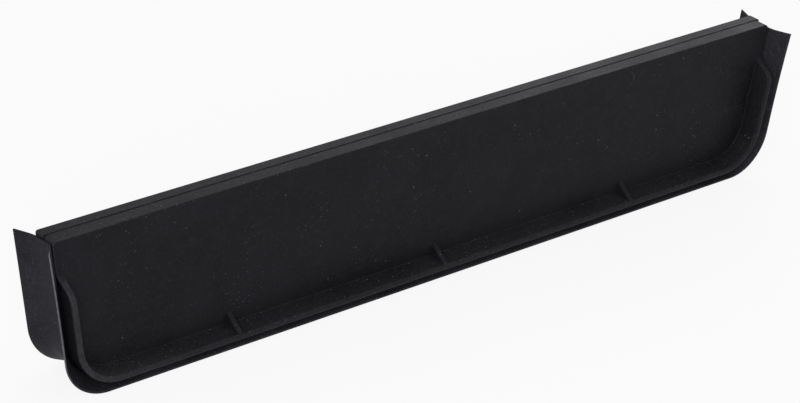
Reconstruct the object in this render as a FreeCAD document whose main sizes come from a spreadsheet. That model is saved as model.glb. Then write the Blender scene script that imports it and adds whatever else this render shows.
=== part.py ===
"""Kick plate: a hollow moulded panel of two shells with a flexible skirt clamped between them.

Frame: millimetres, +Z up. X runs along the panel and +Y points to its rear. The origin lies in
the joint plane between the shells, halfway along, at the level that the skirt's edges rest on.
"""
import FreeCAD, Part
import math
import os
import re
import Sketcher

DOCUMENT_NAME = "kick_plate"
JOINT_PLANE = "XZ_Plane"
CROSS_PLANE = "YZ_Plane"

# Driving dimensions: name, value in millimetres or degrees, meaning.
SIZES = [
    ("top_height", 90.8, "top of the rear shell above the skirt's edges"),
    ("half_length", 252.9, "middle of the panel to its end wall, at the top height"),
    ("end_lean", 8.15, "lean of the end walls from upright, in degrees"),
    ("underside_height", 4.9, "underside of the shells above the skirt's edges"),
    ("corner_radius", 27.9, "outside radius of the shells' lower corners"),
    ("front_upper_radius", 3.0, "outside radius of the front shell's upper corners"),
    ("rear_upper_radius", 1.4, "outside radius of the rear shell's upper corners"),
    ("front_depth", 8.6, "joint plane to the front shell's face"),
    ("rear_depth", 6.9, "joint plane to the rear shell's face"),
    ("top_step", 0.3, "height of the rear band above the front band"),
    ("wall", 3.0, "thickness of webs, tops, ends and bottoms"),
    ("rim_reach", 20.6, "joint plane to a rim's free edge"),
    ("rim_edge", 3.4, "thickness of a rim at its free edge"),
    ("rim_root", 4.6, "thickness of a rim where it leaves the web"),
    ("rim_bevel", 0.6, "bevel along both sides of a rim's free edge"),
    ("rim_start", 72.0, "height where a rim leaves the web"),
    ("rim_slope", 36.0, "slope of a rim's upper end from level, in degrees"),
    ("rim_hollow", 3.0, "radius of a rim's upper end beside the web"),
    ("rim_shoulder", 9.0, "radius of a rim's upper end at its free edge"),
    ("gusset_count", 3, "gussets on each face"),
    ("gusset_spacing", 141.2, "distance between two gussets"),
    ("gusset_width", 3.0, "thickness of a gusset"),
    ("gusset_rise", 7.0, "top of a gusset above the rim's root"),
    ("gusset_setback", 1.2, "foot of a gusset behind the rim's free edge"),
    ("skirt_wall", 0.9, "thickness of the skirt"),
    ("skirt_gap", 2.4, "top edge of the skirt below the top height"),
    ("front_lip_reach", 18.9, "joint plane to the front lip's edge"),
    ("front_lip_flare", 8.6, "front lip's edge outside the end wall"),
    ("front_lip_radius", 27.9, "corner radius of the front lip's edge"),
    ("rear_lip_reach", 19.2, "joint plane to the rear lip's edge"),
    ("rear_lip_flare", 5.6, "rear lip's edge outside the end wall"),
    ("rear_lip_radius", 31.3, "corner radius of the rear lip's edge"),
    ("tongue_wall", 2.0, "thickness of the skirt's tongue in the joint"),
    ("bead_wall", 4.0, "thickness of the bead on the tongue"),
    ("bead_depth", 2.4, "depth of the bead"),
    ("bead_play", 0.3, "gap between the bead and the shells' walls"),
    ("screw_columns", 4, "screws in each row"),
    ("screw_spacing", 130.0, "distance between two screws of a row"),
    ("screw_row_low", 24.0, "height of the lower row of screws"),
    ("screw_row_high", 74.0, "height of the upper row of screws"),
    ("screw_radius", 1.75, "outside radius of a screw's thread"),
    ("screw_length", 9.0, "length of a screw below its head"),
    ("screw_point", 1.2, "length of a screw's tapered point"),
    ("head_radius", 3.5, "radius of a screw's head"),
    ("head_height", 1.8, "height of a screw's head"),
    ("head_play", 0.3, "gap round a screw's head"),
    ("head_recess", 2.5, "depth of the recess that holds a screw's head"),
    ("drive_radius", 1.1, "radius of the drive hole in a screw's head"),
    ("drive_depth", 1.0, "depth of the drive hole in a screw's head"),
    ("boss_wall", 2.4, "wall of a screw boss"),
    ("screw_play", 0.2, "gap round a screw in the rear shell"),
    ("tip_play", 0.3, "gap beyond a screw's point"),
    ("rib_wall", 1.8, "thickness of the ribs inside the shells"),
]

doc = FreeCAD.newDocument(DOCUMENT_NAME)


def make_sheet():
    """Puts every driving dimension in a cell of its own, named by its alias."""
    made = doc.addObject("Spreadsheet::Sheet", "Sizes")
    for row, (name, value, meaning) in enumerate(SIZES, start=1):
        made.set("A%d" % row, name)
        made.set("B%d" % row, str(value))
        made.set("C%d" % row, meaning)
        made.setAlias("B%d" % row, name)
    doc.recompute()
    return made


sheet = make_sheet()
sheet_names = re.compile(r"\b(%s)\b" % "|".join(name for name, value, meaning in SIZES))

# Formulas that several pieces share, written in the sheet's names.
SLANT = "cos(end_lean * 1 deg)"
FRONT_TOP = "top_height - top_step"
SKIRT_TOP = "top_height - skirt_gap"
RIB_GAP = "bead_wall / 2 + bead_play"
FIRST_COLUMN = "-(screw_columns - 1) * screw_spacing / 2"
SHELL_OUTLINE = {"half": "half_length", "bottom": "underside_height", "radius": "corner_radius"}


def bound(expression):
    """Points an expression's names at the sheet's cells."""
    return sheet_names.sub(r"Sizes.\1", expression)


def size(expression):
    """The value of an expression in the sheet's names."""
    return float(sheet.evalExpression(bound(expression)))


def inset(depth):
    """The shells' outline, moved inwards by a depth."""
    return {
        "half": "%s - (%s) / %s" % (SHELL_OUTLINE["half"], depth, SLANT),
        "bottom": "%s + (%s)" % (SHELL_OUTLINE["bottom"], depth),
        "radius": "%s - (%s)" % (SHELL_OUTLINE["radius"], depth),
    }


def lip_outline(flare, radius, wall="0"):
    """The outline of a lip's free edge, or of its inner side a wall further in."""
    return {
        "half": "half_length + %s - (%s) / %s" % (flare, wall, SLANT),
        "bottom": wall,
        "radius": "%s - (%s)" % (radius, wall),
    }


def half_length_at(height):
    """The shells' half length at a height."""
    return "half_length - tan(end_lean * 1 deg) * (top_height - (%s))" % height


def bind(sketch, name, constraint, expression):
    """Adds a dimension to a sketch under a name and ties it to the sheet."""
    number = sketch.addConstraint(constraint)
    sketch.renameConstraint(number, name)
    sketch.setExpression("Constraints." + name, bound(expression))


def new_sketch(body, name, role, offset="0"):
    """A sketch on one of the body's own planes, moved along the plane's normal."""
    sketch = body.newObject("Sketcher::SketchObject", name)
    plane = next(item for item in body.Origin.OriginFeatures if item.Role == role)
    sketch.AttachmentSupport = [(plane, "")]
    sketch.MapMode = "FlatFace"
    shift = FreeCAD.Vector(0, 0, size(offset))
    sketch.AttachmentOffset = FreeCAD.Placement(shift, FreeCAD.Rotation())
    sketch.setExpression("AttachmentOffset.Base.z", bound(offset))
    return sketch


def add_line(sketch, start, end):
    """Draws a straight line between two points of a sketch."""
    first = FreeCAD.Vector(start[0], start[1], 0)
    second = FreeCAD.Vector(end[0], end[1], 0)
    return sketch.addGeometry(Part.LineSegment(first, second), False)


def add_arc(sketch, centre, radius, start, end):
    """Draws an arc from a start angle to an end angle, anticlockwise, in radians."""
    middle = FreeCAD.Vector(centre[0], centre[1], 0)
    circle = Part.Circle(middle, FreeCAD.Vector(0, 0, 1), radius)
    return sketch.addGeometry(Part.ArcOfCircle(circle, start, end), False)


def add_u(sketch, outline, top, key):
    """Draws a U: down the left end, round the corners, along the bottom, up the right end."""
    lean = math.radians(size("end_lean"))
    half = size(outline["half"])
    bottom = size(outline["bottom"])
    radius = size(outline["radius"])
    full_height = size("top_height")
    top_now = size(top)
    turn = radius * math.tan((math.pi / 2 - lean) / 2)
    corner = half - math.tan(lean) * (full_height - bottom)
    centre = (corner - turn, bottom + radius)
    end_low = (corner + turn * math.sin(lean), bottom + turn * math.cos(lean))
    end_top = (half - math.tan(lean) * (full_height - top_now), top_now)

    left = add_line(sketch, (-end_top[0], end_top[1]), (-end_low[0], end_low[1]))
    left_turn = add_arc(sketch, (-centre[0], centre[1]), radius, math.pi + lean, 1.5 * math.pi)
    base = add_line(sketch, (-centre[0], bottom), (centre[0], bottom))
    right_turn = add_arc(sketch, centre, radius, -0.5 * math.pi, -lean)
    right = add_line(sketch, end_low, end_top)
    guide = sketch.addGeometry(Part.Point(FreeCAD.Vector(half, full_height, 0)), True)
    sketch.addConstraint([
        Sketcher.Constraint("Tangent", left, 2, left_turn, 1),
        Sketcher.Constraint("Tangent", left_turn, 2, base, 1),
        Sketcher.Constraint("Tangent", base, 2, right_turn, 1),
        Sketcher.Constraint("Tangent", right_turn, 2, right, 1),
        Sketcher.Constraint("Symmetric", base, 1, base, 2, -2),
        Sketcher.Constraint("Symmetric", left, 1, right, 2, -2),
        Sketcher.Constraint("Equal", left_turn, right_turn),
        Sketcher.Constraint("PointOnObject", guide, 1, right),
    ])
    dimensions = [
        ("half", Sketcher.Constraint("DistanceX", -1, 1, guide, 1, half), outline["half"]),
        ("level", Sketcher.Constraint("DistanceY", -1, 1, guide, 1, full_height), "top_height"),
        ("bottom", Sketcher.Constraint("DistanceY", -1, 1, base, 1, bottom), outline["bottom"]),
        ("radius", Sketcher.Constraint("Radius", right_turn, radius), outline["radius"]),
        ("lean", Sketcher.Constraint("Angle", right, math.pi / 2 - lean), "(90 - end_lean) * 1 deg"),
        ("top", Sketcher.Constraint("DistanceY", -1, 1, right, 2, top_now), top),
    ]
    for name, constraint, expression in dimensions:
        bind(sketch, key + "_" + name, constraint, expression)
    return left, right


def close(sketch, first, first_end, second, second_end):
    """Joins two ends of a profile with a straight line."""
    start = sketch.getPoint(first, first_end)
    finish = sketch.getPoint(second, second_end)
    line = sketch.addGeometry(Part.LineSegment(start, finish), False)
    sketch.addConstraint(Sketcher.Constraint("Coincident", first, first_end, line, 1))
    sketch.addConstraint(Sketcher.Constraint("Coincident", second, second_end, line, 2))


def outline_sketch(body, name, outline, top, depth):
    """A closed outline of the panel, a depth in front of the joint plane."""
    sketch = new_sketch(body, name, JOINT_PLANE, depth)
    left, right = add_u(sketch, outline, top, "outer")
    close(sketch, right, 2, left, 1)
    return sketch


def band_sketch(body, name, outer, inner, top, depth):
    """A U-shaped band between two outlines, cut level at its top."""
    sketch = new_sketch(body, name, JOINT_PLANE, depth)
    outer_left, outer_right = add_u(sketch, outer, top, "outer")
    inner_left, inner_right = add_u(sketch, inner, top, "inner")
    close(sketch, outer_left, 1, inner_left, 1)
    close(sketch, outer_right, 2, inner_right, 2)
    return sketch


def rectangle_sketch(body, name, depth, sides):
    """A rectangle in the joint plane's direction: left, right, low and high as expressions."""
    sketch = new_sketch(body, name, JOINT_PLANE, depth)
    left, right, low, high = [size(side) for side in sides]
    corners = [(left, low), (right, low), (right, high), (left, high)]
    lines = [add_line(sketch, corners[i], corners[(i + 1) % 4]) for i in range(4)]
    for i in range(4):
        sketch.addConstraint(Sketcher.Constraint("Coincident", lines[i], 2, lines[(i + 1) % 4], 1))
        direction = "Horizontal" if i % 2 == 0 else "Vertical"
        sketch.addConstraint(Sketcher.Constraint(direction, lines[i]))
    places = [
        ("left", Sketcher.Constraint("DistanceX", -1, 1, lines[0], 1, left), sides[0]),
        ("right", Sketcher.Constraint("DistanceX", -1, 1, lines[0], 2, right), sides[1]),
        ("low", Sketcher.Constraint("DistanceY", -1, 1, lines[0], 1, low), sides[2]),
        ("high", Sketcher.Constraint("DistanceY", -1, 1, lines[1], 2, high), sides[3]),
    ]
    for side, constraint, expression in places:
        bind(sketch, side, constraint, expression)
    return sketch


def circles_sketch(body, name, depth, radius):
    """One circle in each row of screws, at the first column."""
    sketch = new_sketch(body, name, JOINT_PLANE, depth)
    for row in ("screw_row_low", "screw_row_high"):
        centre = FreeCAD.Vector(size(FIRST_COLUMN), size(row), 0)
        circle = Part.Circle(centre, FreeCAD.Vector(0, 0, 1), size(radius))
        ring = sketch.addGeometry(circle, False)
        bind(sketch, row + "_column",
             Sketcher.Constraint("DistanceX", -1, 1, ring, 3, centre.x), FIRST_COLUMN)
        bind(sketch, row + "_height",
             Sketcher.Constraint("DistanceY", -1, 1, ring, 3, centre.y), row)
        bind(sketch, row + "_radius", Sketcher.Constraint("Radius", ring, size(radius)), radius)
    return sketch


def extrude(body, kind, name, sketch, length, reverse=False, both=False):
    """Pads or pockets a sketch by a length, on one side or evenly on both."""
    feature = body.newObject("PartDesign::" + kind, name)
    feature.Profile = sketch
    feature.Length = size(length)
    feature.setExpression("Length", bound(length))
    feature.SideType = "Symmetric" if both else "One side"
    feature.Reversed = reverse
    body.Tip = feature
    doc.recompute()
    return feature


def set_pattern(pattern, body, role, spacing, count):
    """Sets a pattern's direction, spacing and count along one of the body's axes."""
    axis = next(item for item in body.Origin.OriginFeatures if item.Role == role)
    pattern.Direction = (axis, [""])
    pattern.Mode = "Spacing"
    pattern.Offset = size(spacing)
    pattern.setExpression("Offset", bound(spacing))
    pattern.Occurrences = int(size(count))
    pattern.setExpression("Occurrences", bound(count))


def repeat(body, name, features, spacing, count):
    """Repeats features along the panel."""
    pattern = body.newObject("PartDesign::LinearPattern", name)
    pattern.Originals = features
    set_pattern(pattern, body, "X_Axis", spacing, count)
    body.Tip = pattern
    doc.recompute()
    return pattern


def loft(body, name, first, second):
    """A straight-sided solid between two like sketches."""
    feature = body.newObject("PartDesign::AdditiveLoft", name)
    feature.Profile = first
    feature.Sections = [second]
    feature.Ruled = True
    body.Tip = feature
    doc.recompute()
    return feature


def round_edges(body, name, base, wanted, radius):
    """Rounds the edges of a feature that a test picks out."""
    edges = [
        "Edge%d" % number
        for number, edge in enumerate(base.Shape.Edges, start=1)
        if wanted(edge)
    ]
    feature = body.newObject("PartDesign::Fillet", name)
    feature.Base = (base, edges)
    feature.Radius = size(radius)
    feature.setExpression("Radius", bound(radius))
    body.Tip = feature
    doc.recompute()
    return feature


def new_body(name):
    """A body with its own name, placed in the panel's frame."""
    body = doc.addObject("PartDesign::Body", name)
    body.Label = name
    body.Placement = FreeCAD.Placement()
    return body


def rim_end_sketch(body, name, side, depth):
    """The space beyond a rim's S-shaped upper end, seen along the panel."""
    sketch = new_sketch(body, name, CROSS_PLANE)
    slope = math.radians(size("rim_slope"))
    bend = math.pi / 2 - slope
    web = size(depth)
    edge = size("rim_reach")
    start = size("rim_start")
    hollow = size("rim_hollow")
    shoulder = size("rim_shoulder")
    run = edge - web - (hollow + shoulder) * (1 - math.cos(bend))
    drop = run * math.tan(slope)
    low = start - (hollow + shoulder) * math.sin(bend) - drop
    margin = size("wall")

    def place(distance, height):
        return (-side * distance, height)

    hollow_end = (web + hollow * (1 - math.cos(bend)), start - hollow * math.sin(bend))
    shoulder_start = (hollow_end[0] + run, hollow_end[1] - drop)
    points = [place(*hollow_end), place(*shoulder_start)]
    hollow_centre = place(web + hollow, start)
    shoulder_centre = place(edge - shoulder, low)
    line = add_line(sketch, points[0], points[1])
    if side > 0:
        first = add_arc(sketch, hollow_centre, hollow, -bend, 0)
        second = add_arc(sketch, shoulder_centre, shoulder, math.pi - bend, math.pi)
        first_ends, second_ends = (2, 1), (1, 2)
    else:
        first = add_arc(sketch, hollow_centre, hollow, math.pi, math.pi + bend)
        second = add_arc(sketch, shoulder_centre, shoulder, 0, bend)
        first_ends, second_ends = (1, 2), (2, 1)
    corners = [
        place(edge, low),
        place(edge + margin, low),
        place(edge + margin, start + margin),
        place(web, start + margin),
        place(web, start),
    ]
    frame = [add_line(sketch, corners[i], corners[i + 1]) for i in range(4)]
    sketch.addConstraint([
        Sketcher.Constraint("Tangent", first, first_ends[1], line, 1),
        Sketcher.Constraint("Tangent", line, 2, second, second_ends[0]),
        Sketcher.Constraint("Coincident", frame[0], 2, frame[1], 1),
        Sketcher.Constraint("Coincident", frame[1], 2, frame[2], 1),
        Sketcher.Constraint("Coincident", frame[2], 2, frame[3], 1),
        Sketcher.Constraint("Tangent", frame[3], 2, first, first_ends[0]),
        Sketcher.Constraint("Perpendicular", frame[0], 1, second, second_ends[1]),
        Sketcher.Constraint("Horizontal", frame[0]),
        Sketcher.Constraint("Vertical", frame[1]),
        Sketcher.Constraint("Horizontal", frame[2]),
        Sketcher.Constraint("Vertical", frame[3]),
    ])
    sign = "-1" if side > 0 else "1"
    measures = [
        ("web", "DistanceX", (-1, 1, frame[3], 2), -side * web, "%s * (%s)" % (sign, depth)),
        ("edge", "DistanceX", (-1, 1, frame[0], 1), -side * edge, "%s * rim_reach" % sign),
        ("outside", "DistanceX", (-1, 1, frame[0], 2), -side * (edge + margin),
         "%s * (rim_reach + wall)" % sign),
        ("start", "DistanceY", (-1, 1, frame[3], 2), start, "rim_start"),
        ("above", "DistanceY", (-1, 1, frame[3], 1), start + margin, "rim_start + wall"),
        ("hollow", "Radius", (first,), hollow, "rim_hollow"),
        ("shoulder", "Radius", (second,), shoulder, "rim_shoulder"),
    ]
    for key, kind, where, value, expression in measures:
        bind(sketch, key, Sketcher.Constraint(kind, *where, value), expression)
    direction = math.pi + slope if side > 0 else -slope
    turn = "(180 + rim_slope) * 1 deg" if side > 0 else "-rim_slope * 1 deg"
    bind(sketch, "slope", Sketcher.Constraint("Angle", line, direction), turn)
    return sketch


def gusset_sketch(body, name, side, depth):
    """A gusset's triangle, seen along the panel, at the first gusset's place."""
    sketch = new_sketch(body, name, CROSS_PLANE, "-(gusset_count - 1) * gusset_spacing / 2")
    sign = "-1" if side > 0 else "1"
    foot_reach = "rim_reach - gusset_setback"
    foot_wall = ("rim_edge + (rim_root - rim_edge) * gusset_setback / (rim_reach - %s)" % depth)
    root = "underside_height + rim_root"
    buried = "underside_height + rim_edge / 2"
    corners = [
        (depth, "%s + gusset_rise" % root),
        (depth, buried),
        (foot_reach, buried),
        (foot_reach, "underside_height + %s" % foot_wall),
    ]
    places = [(-side * size(reach), size(height)) for reach, height in corners]
    lines = [add_line(sketch, places[i], places[(i + 1) % 4]) for i in range(4)]
    for i in range(4):
        sketch.addConstraint(Sketcher.Constraint("Coincident", lines[i], 2, lines[(i + 1) % 4], 1))
    for i, (reach, height) in enumerate(corners):
        bind(sketch, "reach_%d" % i,
             Sketcher.Constraint("DistanceX", -1, 1, lines[i], 1, places[i][0]),
             "%s * (%s)" % (sign, reach))
        bind(sketch, "height_%d" % i,
             Sketcher.Constraint("DistanceY", -1, 1, lines[i], 1, places[i][1]), height)
    return sketch


def make_shell(name, side, depth, top, upper_radius):
    """The hollow half of a panel. Side is 1 for the front shell and -1 for the rear one."""
    body = new_body(name)
    front = side > 0
    face = "%d * %s" % (side, depth)
    web_inside = "%d * (%s - wall)" % (side, depth)

    outline = outline_sketch(body, name + "_outline", SHELL_OUTLINE, top, face)
    block = extrude(body, "Pad", name + "_block", outline, depth, reverse=front)
    top_now = size(top)
    round_edges(
        body, name + "_upper_corners", block,
        lambda edge: edge.BoundBox.ZMin > top_now - 0.01 and edge.BoundBox.XLength < 0.01,
        upper_radius)
    hollow = outline_sketch(body, name + "_hollow", inset("wall"), "%s - wall" % top, "0")
    extrude(body, "Pocket", name + "_cavity", hollow, "%s - wall" % depth, reverse=front)
    groove = band_sketch(body, name + "_groove", inset("-wall"), inset("wall * 1.2"), SKIRT_TOP, "0")
    extrude(body, "Pocket", name + "_joint_groove", groove, "tongue_wall / 2", reverse=front)
    add_ribs(body, name, depth, top, web_inside, front)
    circles = circles_sketch(body, name + "_boss_circles", web_inside, "screw_radius + boss_wall")
    bosses = extrude(body, "Pad", name + "_bosses", circles, "%s - wall" % depth, reverse=front)
    repeat(body, name + "_boss_row", [bosses], "screw_spacing", "screw_columns")
    return body


def add_ribs(body, name, depth, top, web_inside, front):
    """Upright ribs at and between the screws, and one long rib across them."""
    rib_depth = "%s - wall - (%s)" % (depth, RIB_GAP)
    upright = rectangle_sketch(
        body, name + "_rib", web_inside,
        ["%s - rib_wall / 2" % FIRST_COLUMN, "%s + rib_wall / 2" % FIRST_COLUMN,
         "underside_height + wall / 2", "%s - wall / 2" % top])
    rib = extrude(body, "Pad", name + "_ribs", upright, rib_depth, reverse=front)
    repeat(body, name + "_rib_row", [rib], "screw_spacing / 2", "2 * screw_columns - 1")
    middle = "(screw_row_low + screw_row_high) / 2"
    reach = "(%s - wall / 2)" % half_length_at(middle)
    long_rib = rectangle_sketch(
        body, name + "_long_rib", web_inside,
        ["-" + reach, reach, middle + " - rib_wall / 2", middle + " + rib_wall / 2"])
    extrude(body, "Pad", name + "_middle_rib", long_rib, rib_depth, reverse=front)


def add_rim(body, name, side, depth):
    """The rim with its bevelled free edge, its S-shaped upper ends and its gussets."""
    rim_top = "rim_start + wall / 2"
    sections = [
        (SHELL_OUTLINE, inset("rim_root"), "%d * %s" % (side, depth)),
        (SHELL_OUTLINE, inset("rim_edge"), "%d * (rim_reach - rim_bevel)" % side),
        (inset("rim_bevel"), inset("rim_edge - rim_bevel"), "%d * rim_reach" % side),
    ]
    for step, (outer, inner, place) in enumerate(sections[1:]):
        first_outer, first_inner, first_place = sections[step]
        first = band_sketch(body, "%s_rim_from_%d" % (name, step), first_outer, first_inner,
                            rim_top, first_place)
        second = band_sketch(body, "%s_rim_to_%d" % (name, step), outer, inner, rim_top, place)
        loft(body, "%s_rim_%d" % (name, step), first, second)
    beyond = rim_end_sketch(body, name + "_rim_end", side, depth)
    extrude(body, "Pocket", name + "_rim_ends", beyond, "2.5 * half_length", both=True)
    triangle = gusset_sketch(body, name + "_gusset", side, depth)
    gusset = extrude(body, "Pad", name + "_gussets", triangle, "gusset_width", both=True)
    repeat(body, name + "_gusset_row", [gusset], "gusset_spacing", "gusset_count")


def make_front_shell():
    """The front half: its bosses are blind and take the screws' threads."""
    name = "front_shell"
    body = make_shell(name, 1, "front_depth", FRONT_TOP, "front_upper_radius")
    grip = "screw_length - (rear_depth - head_recess) + tip_play"
    circles = circles_sketch(body, name + "_pilot_circles", "0", "screw_radius")
    pilot = extrude(body, "Pocket", name + "_pilots", circles, grip, reverse=True)
    repeat(body, name + "_pilot_row", [pilot], "screw_spacing", "screw_columns")
    add_rim(body, name, 1, "front_depth")
    return body


def make_rear_shell():
    """The rear half: its bosses are open and hold the screws' heads in recesses."""
    name = "rear_shell"
    body = make_shell(name, -1, "rear_depth", "top_height", "rear_upper_radius")
    holes = [
        ("way", "0", "screw_radius + screw_play", "rear_depth + wall"),
        ("seat", "-(rear_depth - head_recess)", "head_radius + head_play", "head_recess + wall"),
    ]
    for key, place, radius, depth in holes:
        circles = circles_sketch(body, "%s_%s_circles" % (name, key), place, radius)
        hole = extrude(body, "Pocket", "%s_%ss" % (name, key), circles, depth)
        repeat(body, "%s_%s_row" % (name, key), [hole], "screw_spacing", "screw_columns")
    add_rim(body, name, -1, "rear_depth")
    return body


def make_skirt():
    """The soft strip: a wrap round the shells, two flared lips, a tongue and its bead."""
    body = new_body("flexible_skirt")
    wrap_outline = inset("-skirt_wall")
    wrap = band_sketch(body, "skirt_wrap_band", wrap_outline, SHELL_OUTLINE, SKIRT_TOP,
                       "front_depth")
    extrude(body, "Pad", "skirt_wrap", wrap, "front_depth + rear_depth", reverse=True)
    for key, side in (("front", 1), ("rear", -1)):
        flare = key + "_lip_flare"
        radius = key + "_lip_radius"
        root = band_sketch(body, key + "_lip_root", wrap_outline, SHELL_OUTLINE, SKIRT_TOP,
                           "%d * %s_depth" % (side, key))
        edge = band_sketch(body, key + "_lip_edge", lip_outline(flare, radius),
                           lip_outline(flare, radius, "skirt_wall"), SKIRT_TOP,
                           "%d * %s_lip_reach" % (side, key))
        loft(body, key + "_lip", root, edge)
    inner_side = inset("wall + bead_play + bead_depth")
    tongue = band_sketch(body, "skirt_tongue_band", SHELL_OUTLINE, inner_side, SKIRT_TOP, "0")
    extrude(body, "Pad", "skirt_tongue", tongue, "tongue_wall", both=True)
    bead_top = "%s - wall - bead_play" % FRONT_TOP
    bead = band_sketch(body, "skirt_bead_band", inset("wall + bead_play"), inner_side, bead_top, "0")
    extrude(body, "Pad", "skirt_bead", bead, "bead_wall", both=True)
    return body


def screw_sketch(body):
    """Half of a screw's section and its axis, at the first column of the lower row."""
    sketch = new_sketch(body, "screw_section", "XY_Plane", "screw_row_low")
    seat = "rear_depth - head_recess"
    tip = "%s - screw_length" % seat
    head = "%s + head_height" % seat
    section = [
        ("0", tip),
        ("screw_radius / 2", tip),
        ("screw_radius", "%s + screw_point" % tip),
        ("screw_radius", seat),
        ("head_radius", seat),
        ("head_radius", head),
        ("drive_radius", head),
        ("drive_radius", "%s - drive_depth" % head),
        ("0", "%s - drive_depth" % head),
    ]
    count = len(section)
    places = [(size("%s + %s" % (FIRST_COLUMN, across)), size(along)) for across, along in section]
    lines = [add_line(sketch, places[i], places[(i + 1) % count]) for i in range(count)]
    for i, (across, along) in enumerate(section):
        following = lines[(i + 1) % count]
        sketch.addConstraint(Sketcher.Constraint("Coincident", lines[i], 2, following, 1))
        bind(sketch, "across_%d" % i,
             Sketcher.Constraint("DistanceX", -1, 1, lines[i], 1, places[i][0]),
             "%s + %s" % (FIRST_COLUMN, across))
        bind(sketch, "along_%d" % i,
             Sketcher.Constraint("DistanceY", -1, 1, lines[i], 1, places[i][1]), along)
    axis = add_line(sketch, places[0], places[-1])
    sketch.setConstruction(axis, True)
    sketch.addConstraint(Sketcher.Constraint("Coincident", axis, 1, lines[0], 1))
    sketch.addConstraint(Sketcher.Constraint("Coincident", axis, 2, lines[-1], 1))
    return sketch


def make_screws():
    """Two rows of like screws, entered from the rear, as a group of separate solids."""
    body = new_body("shell_screws")
    body.AllowCompound = True
    screw = body.newObject("PartDesign::Revolution", "screw")
    sketch = screw_sketch(body)
    screw.Profile = sketch
    screw.ReferenceAxis = (sketch, ["Axis0"])
    screw.Angle = 360
    body.Tip = screw
    doc.recompute()
    rows = body.newObject("PartDesign::MultiTransform", "screw_rows")
    rows.Originals = [screw]
    steps = [
        ("X_Axis", "screw_spacing", "screw_columns"),
        ("Z_Axis", "screw_row_high - screw_row_low", "2"),
    ]
    patterns = []
    for role, spacing, count in steps:
        pattern = body.newObject("PartDesign::LinearPattern", "screws_along_" + role[0].lower())
        set_pattern(pattern, body, role, spacing, count)
        patterns.append(pattern)
    rows.Transformations = patterns
    body.Tip = rows
    doc.recompute()
    return body


def check(parts):
    """Stops if any object failed to build or any sub-part isn't a sound solid."""
    for item in doc.Objects:
        if "Invalid" in item.State or "Error" in item.State:
            raise RuntimeError("%s failed: %s" % (item.Label, item.State))
    for part in parts:
        if part.Shape.isNull() or not part.Shape.isValid():
            raise RuntimeError("%s has no sound shape" % part.Label)


def export(parts):
    """Writes each sub-part to a file of its own name and prints what it measures."""
    os.makedirs("parts", exist_ok=True)
    for part in parts:
        box = part.Shape.BoundBox
        print(part.Label, len(part.Shape.Solids), "solids", round(part.Shape.Volume), "mm3",
              [round(v, 2) for v in (box.XMin, box.XMax, box.YMin, box.YMax, box.ZMin, box.ZMax)])
        part.Shape.exportStep("parts/%s.step" % part.Label)


panel = [make_front_shell(), make_rear_shell(), make_skirt(), make_screws()]
doc.recompute()
check(panel)
export(panel)
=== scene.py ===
"""Kick plate: two moulded shells, the flexible skirt clamped between them, and its screws.

Sizes are written in millimetres, in the CAD's frame: X along the panel, +Y to its rear, +Z up.
A depth is counted from the joint plane between the shells, towards the front or the rear, and
an inset from the shells' outside, inwards. Meshes are written in metres.
"""

import math

import bmesh
import bpy
from mathutils import Matrix, Vector


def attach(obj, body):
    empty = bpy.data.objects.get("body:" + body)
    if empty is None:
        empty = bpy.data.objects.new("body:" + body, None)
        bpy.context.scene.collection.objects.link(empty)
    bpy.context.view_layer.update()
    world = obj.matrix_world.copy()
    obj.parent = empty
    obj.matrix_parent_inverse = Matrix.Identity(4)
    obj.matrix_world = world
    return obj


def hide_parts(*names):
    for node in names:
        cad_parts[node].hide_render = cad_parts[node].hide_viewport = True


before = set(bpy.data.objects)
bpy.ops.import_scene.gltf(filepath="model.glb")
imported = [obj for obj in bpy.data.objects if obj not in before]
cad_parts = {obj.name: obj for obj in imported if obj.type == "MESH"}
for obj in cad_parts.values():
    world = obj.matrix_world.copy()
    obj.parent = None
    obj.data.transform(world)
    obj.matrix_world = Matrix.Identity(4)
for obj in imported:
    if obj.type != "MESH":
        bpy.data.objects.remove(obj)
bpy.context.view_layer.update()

MM = 0.001
FRONT, REAR = -1, 1
# Points nearer than MERGE become one, and STAGGER keeps a squeezed section's points apart.
MERGE = 0.002
STAGGER = 0.004

# The panel's outline.
TOP = 90.8
TOP_STEP = 0.3
HALF_LENGTH = 252.9
LEAN = math.radians(8.15)
UNDERSIDE = 4.9
CORNER_RADIUS = 27.9

# The shells. EDGE_BAND is the flat strip kept beside a rounding of the outside.
DEPTH = {FRONT: 8.6, REAR: 6.9}
LEDGE = {FRONT: TOP - TOP_STEP, REAR: TOP}
UPPER_RADIUS = {FRONT: 3.0, REAR: 1.4}
WALL = 3.0
SEAM_BEVEL = 0.1
LEDGE_ROUND = 0.5
EDGE_BAND = 0.3
RIM_REACH = 20.6
RIM_EDGE = 3.4
RIM_ROOT = 4.6
RIM_ROUND = 1.3
RIM_START = 72.0
RIM_SLOPE = math.radians(36.0)
RIM_HOLLOW = 3.0
RIM_SHOULDER = 9.0
RIM_FULL_RISE = 4.0
ROOT_FILLET = 0.5
WEB_INSET = RIM_ROOT + ROOT_FILLET + 0.8
WEB_INSET_AT_LEDGE = 1.6
WEB_FADE = 9.0
GUSSET_COUNT = 3
GUSSET_SPACING = 141.2
GUSSET_WIDTH = 3.0
GUSSET_RISE = 7.0
GUSSET_SETBACK = 1.2
GUSSET_BEVEL = 0.45
GUSSET_ROOT = 0.8

# The skirt. The front lip flares a little less than the solid's, to leave room for its set.
SKIRT_TOP = TOP - 2.4
SKIRT_WALL = 0.9
LIP_REACH = {FRONT: 18.9, REAR: 19.2}
LIP_FLARE = {FRONT: 8.0, REAR: 5.6}
LIP_RADIUS = {FRONT: 27.9, REAR: 31.3}
LIP_ROUND = 0.25
LIP_BEND = 4.5
# Distances from a lip's free edge to the rows of points on its faces.
LIP_ROWS = (8.0, 5.0, 2.5, 0.9)
LIP_SET_FROM = 35.0
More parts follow.
